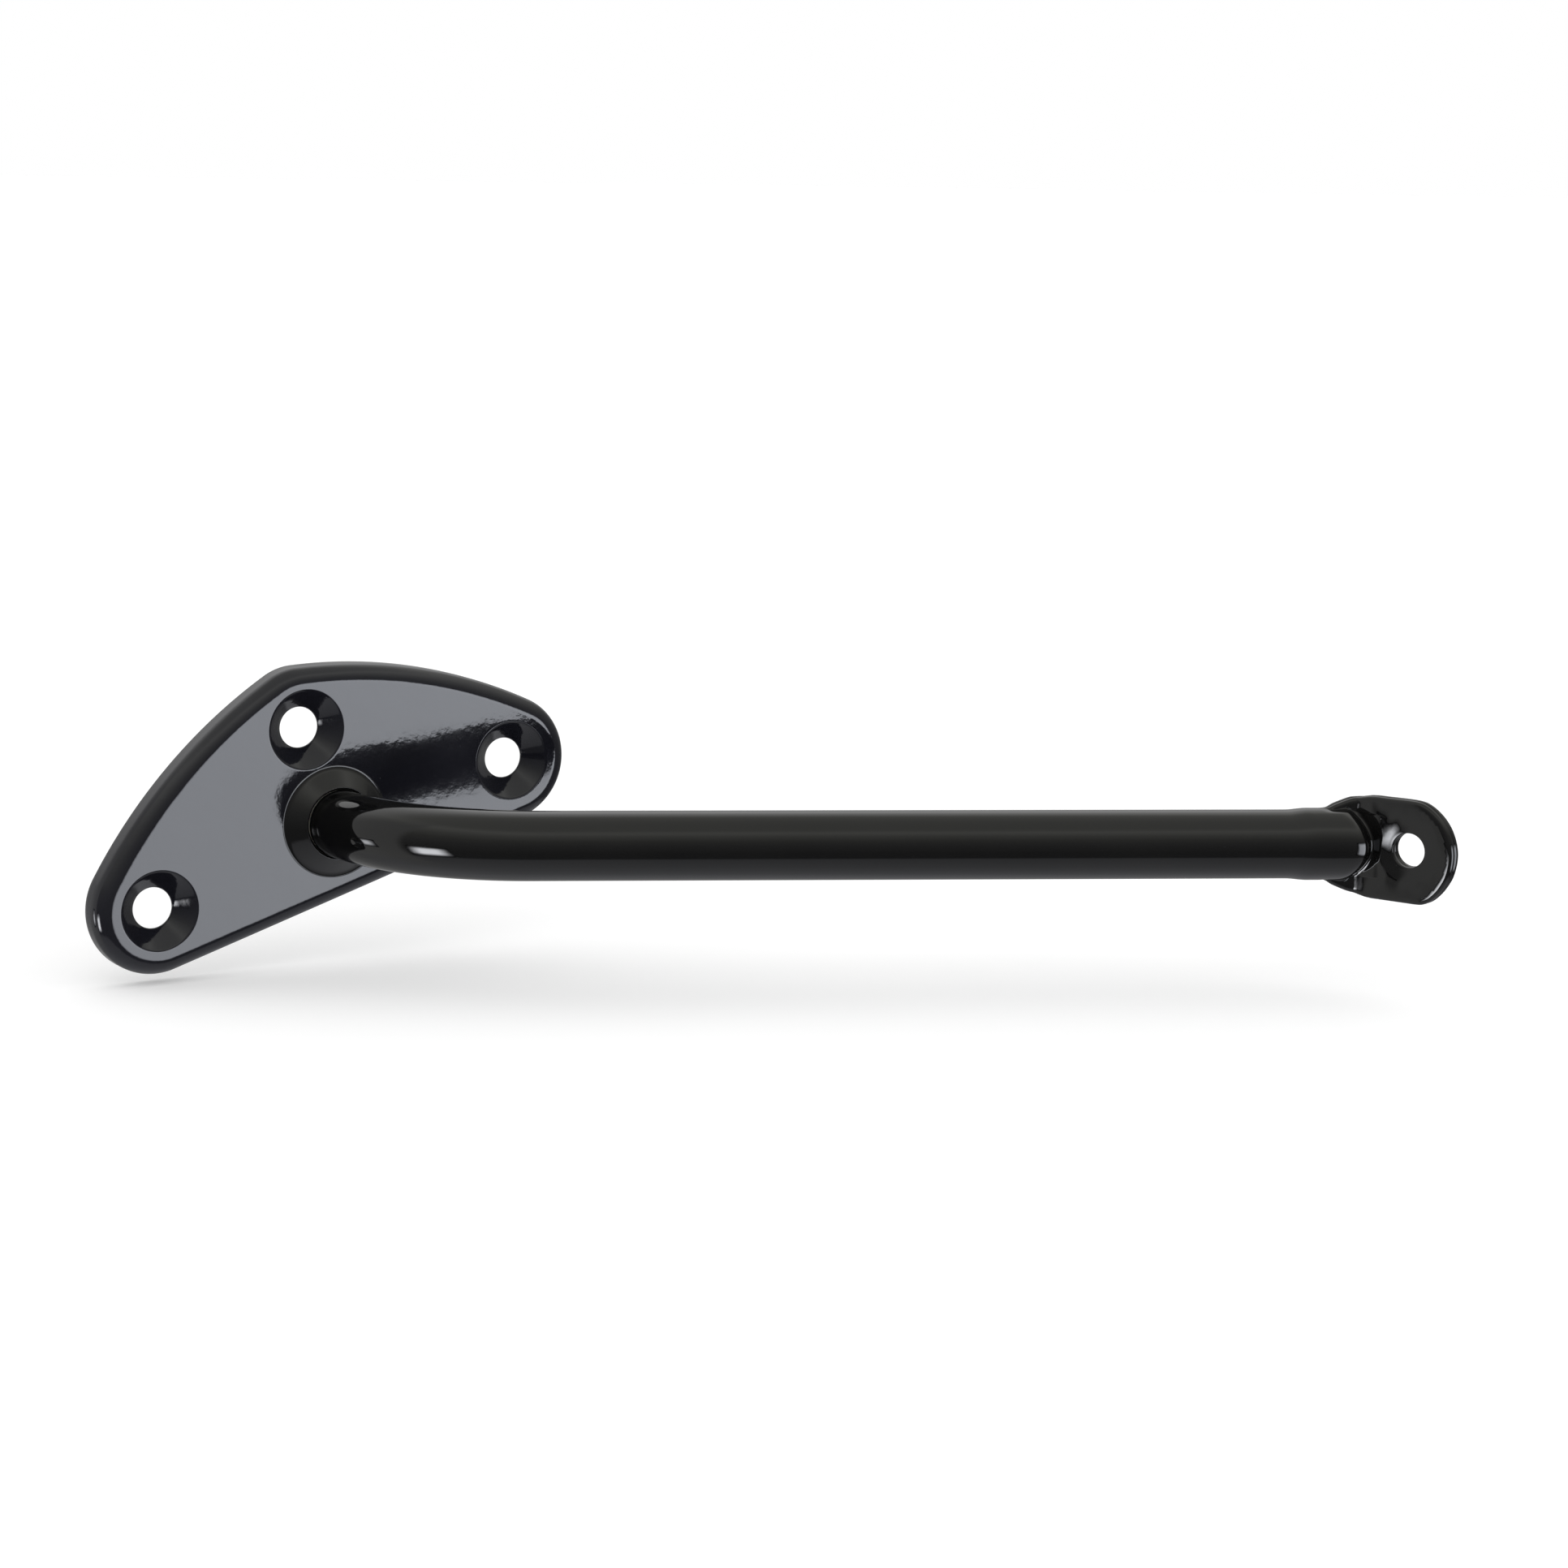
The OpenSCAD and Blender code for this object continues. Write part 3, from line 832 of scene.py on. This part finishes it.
# ---------------------------------------------------------------- light
def area(name, loc, at, sx, sy, radiance, tint=(1, 1, 1)):
    ld = bpy.data.lights.new(name, "AREA")
    ld.shape = "RECTANGLE"
    ld.size, ld.size_y = sx, sy
    ld.energy = radiance * math.pi * sx * sy
    ld.color = tint
    o = bpy.data.objects.new(name, ld)
    bpy.context.scene.collection.objects.link(o)
    o.location = loc
    o.rotation_mode = "QUATERNION"
    o.rotation_quaternion = (Vector(at) - Vector(loc)).to_track_quat("-Z", "Y")
    o.visible_camera = False
    return o


def soft_box(name, loc, at, sx, sy, radiance, edge, tint=(1, 1, 1), lean=(0.0, 0.0)):
    """A lit sheet that fades towards its edges, seen in reflections only."""
    m = bpy.data.materials.new(name)
    m.use_nodes = True
    t = m.node_tree
    t.nodes.clear()
    o_ = node(t, "ShaderNodeOutputMaterial")
    em = node(t, "ShaderNodeEmission")
    tc_ = node(t, "ShaderNodeTexCoord")
    sp = node(t, "ShaderNodeSeparateXYZ")
    t.links.new(tc_.outputs["Generated"], sp.inputs["Vector"])

    def op(kind, x, y=None, z=None):
        q = node(t, "ShaderNodeMath", operation=kind)
        for k_, v_ in enumerate((x, y, z)):
            if v_ is None:
                continue
            if isinstance(v_, (int, float)):
                q.inputs[k_].default_value = v_
            else:
                t.links.new(v_, q.inputs[k_])
        return q.outputs[0]

    fades = []
    for ax_ in ("X", "Y"):
        d_ = op("SUBTRACT", 0.5, op("ABSOLUTE", op("SUBTRACT", sp.outputs[ax_], 0.5)))
        mr = node(t, "ShaderNodeMapRange", interpolation_type="SMOOTHSTEP")
        mr.inputs["From Min"].default_value = 0.0
        mr.inputs["From Max"].default_value = edge
        t.links.new(d_, mr.inputs["Value"])
        fades.append(mr.outputs["Result"])
    level = op("MULTIPLY", fades[0], fades[1])
    slope = op("ADD", op("MULTIPLY_ADD", sp.outputs["X"], lean[0], 1 - lean[0] / 2),
               op("MULTIPLY_ADD", sp.outputs["Y"], lean[1], -lean[1] / 2))
    level = op("MULTIPLY", level, slope)
    t.links.new(op("MULTIPLY", level, radiance), em.inputs["Strength"])
    em.inputs["Color"].default_value = (*tint, 1)
    t.links.new(em.outputs[0], o_.inputs["Surface"])
    me_ = bpy.data.meshes.new(name)
    x_, y_ = sx / 2, sy / 2
    me_.from_pydata([(-x_, -y_, 0), (x_, -y_, 0), (x_, y_, 0), (-x_, y_, 0)], [], [(0, 1, 2, 3)])
    me_.materials.append(m)
    ob = bpy.data.objects.new(name, me_)
    bpy.context.scene.collection.objects.link(ob)
    z_ = (Vector(at) - Vector(loc)).normalized()
    x_ = Vector((0, 0, 1)).cross(z_).normalized()
    y_ = z_.cross(x_)
    ob.matrix_world = Matrix.Translation(loc) @ Matrix((x_, y_, z_)).transposed().to_4x4()
    ob.visible_camera = False
    ob.visible_shadow = False
    ob.visible_diffuse = False
    ob.visible_transmission = False
    return ob


soft_box("box_front_right", (0.33, -0.65, -0.10), (0.0, 0.0, -0.10), 0.60, 0.46, 5.5, 0.22, (0.93, 0.965, 1.04), (-0.25, 0.2))
soft_box("box_core", (0.36, -0.66, 0.05), (0.1, -0.1, 0.0), 0.20, 0.16, 19.0, 0.45)
soft_box("box_left", (-2.80, -0.60, -1.10), (0.003, -0.04, 0.0), 1.16, 1.35, 14.0, 0.36, (0.97, 0.985, 1.03))
soft_box("box_edge", (-0.192, 0.050, -0.055), (-0.05, 0.0, -0.02), 0.045, 0.06, 7.0, 0.45, (0.97, 0.985, 1.03))
for nm, loc_, sz, rad in (("key", (-0.5, -0.7, 0.9), 0.5, 0.9), ("fill", (0.8, -0.4, 0.7), 0.8, 0.35)):
    o = area(nm, loc_, (0.06, -0.05, 0.0), sz, sz, rad)
    o.visible_glossy = False

world = bpy.data.worlds.new("studio")
bpy.context.scene.world = world
world.use_nodes = True
nt = world.node_tree
nt.nodes.clear()
out = node(nt, "ShaderNodeOutputWorld")
tc = node(nt, "ShaderNodeTexCoord")
sep = node(nt, "ShaderNodeSeparateXYZ")
nt.links.new(tc.outputs["Generated"], sep.inputs["Vector"])


def mathn(op, a, b=None, c=None, clamp=False):
    n_ = node(nt, "ShaderNodeMath", operation=op, use_clamp=clamp)
    for k, v in enumerate((a, b, c)):
        if v is None:
            continue
        if isinstance(v, (int, float)):
            n_.inputs[k].default_value = v
        else:
            nt.links.new(v, n_.inputs[k])
    return n_.outputs[0]


z01 = mathn("MULTIPLY_ADD", sep.outputs["Z"], 0.5, 0.5, clamp=True)
# dark in front, pale above, the paper below
W_, N_ = (1.0, 1.0, 0.94), (0.97, 0.98, 1.03)
grey = lambda v, t: tuple(v * c for c in t)
tone = ramp(nt, z01, [(0.0, grey(0.64, N_)), (0.14, grey(0.52, N_)), (0.195, grey(0.47, N_)), (0.225, grey(0.13, N_)),
                      (0.35, 0.13), (0.465, 0.18), (0.584, 0.25), (0.70, grey(0.37, W_)), (0.80, grey(0.62, W_)),
                      (0.883, grey(0.95, W_)), (0.935, grey(0.70, W_)), (1.0, grey(0.66, W_))])
back = node(nt, "ShaderNodeMapRange", interpolation_type="SMOOTHSTEP")
back.inputs["From Min"].default_value = 0.30
back.inputs["From Max"].default_value = 0.75
nt.links.new(sep.outputs["Y"], back.inputs["Value"])
mix = node(nt, "ShaderNodeMix", data_type="RGBA")
nt.links.new(back.outputs["Result"], mix.inputs["Factor"])
nt.links.new(tone, mix.inputs[6])
nt.links.new(ramp(nt, z01, [(0.0, 0.35), (0.42, 0.42), (0.585, 0.45), (0.68, 0.80), (0.76, 1.25), (1.0, 1.3)]), mix.inputs[7])
# a pale wall behind and to the left


def step_map(src, lo_, hi_):
    q = node(nt, "ShaderNodeMapRange", interpolation_type="SMOOTHSTEP")
    q.inputs["From Min"].default_value = lo_
    q.inputs["From Max"].default_value = hi_
    nt.links.new(src, q.inputs["Value"])
    return q.outputs["Result"]


left = mathn("MULTIPLY", step_map(sep.outputs["Y"], -0.02, 0.10), step_map(mathn("MULTIPLY", sep.outputs["X"], -1.0), 0.4, 0.8))
mix2 = node(nt, "ShaderNodeMix", data_type="RGBA")
nt.links.new(left, mix2.inputs["Factor"])
nt.links.new(mix.outputs[2], mix2.inputs[6])
mix2.inputs[7].default_value = (0.64, 0.64, 0.63, 1)
bg_g = node(nt, "ShaderNodeBackground")
nt.links.new(mix2.outputs[2], bg_g.inputs["Color"])
bg_w = node(nt, "ShaderNodeBackground")
bg_w.inputs["Color"].default_value = (1, 1, 1, 1)
bg_w.inputs["Strength"].default_value = 1.0
lp = node(nt, "ShaderNodeLightPath")
ms = node(nt, "ShaderNodeMixShader")
nt.links.new(lp.outputs["Is Glossy Ray"], ms.inputs["Fac"])
nt.links.new(bg_w.outputs[0], ms.inputs[1])
nt.links.new(bg_g.outputs[0], ms.inputs[2])
nt.links.new(ms.outputs[0], out.inputs["Surface"])

bpy.context.scene.view_settings.view_transform = "Standard"
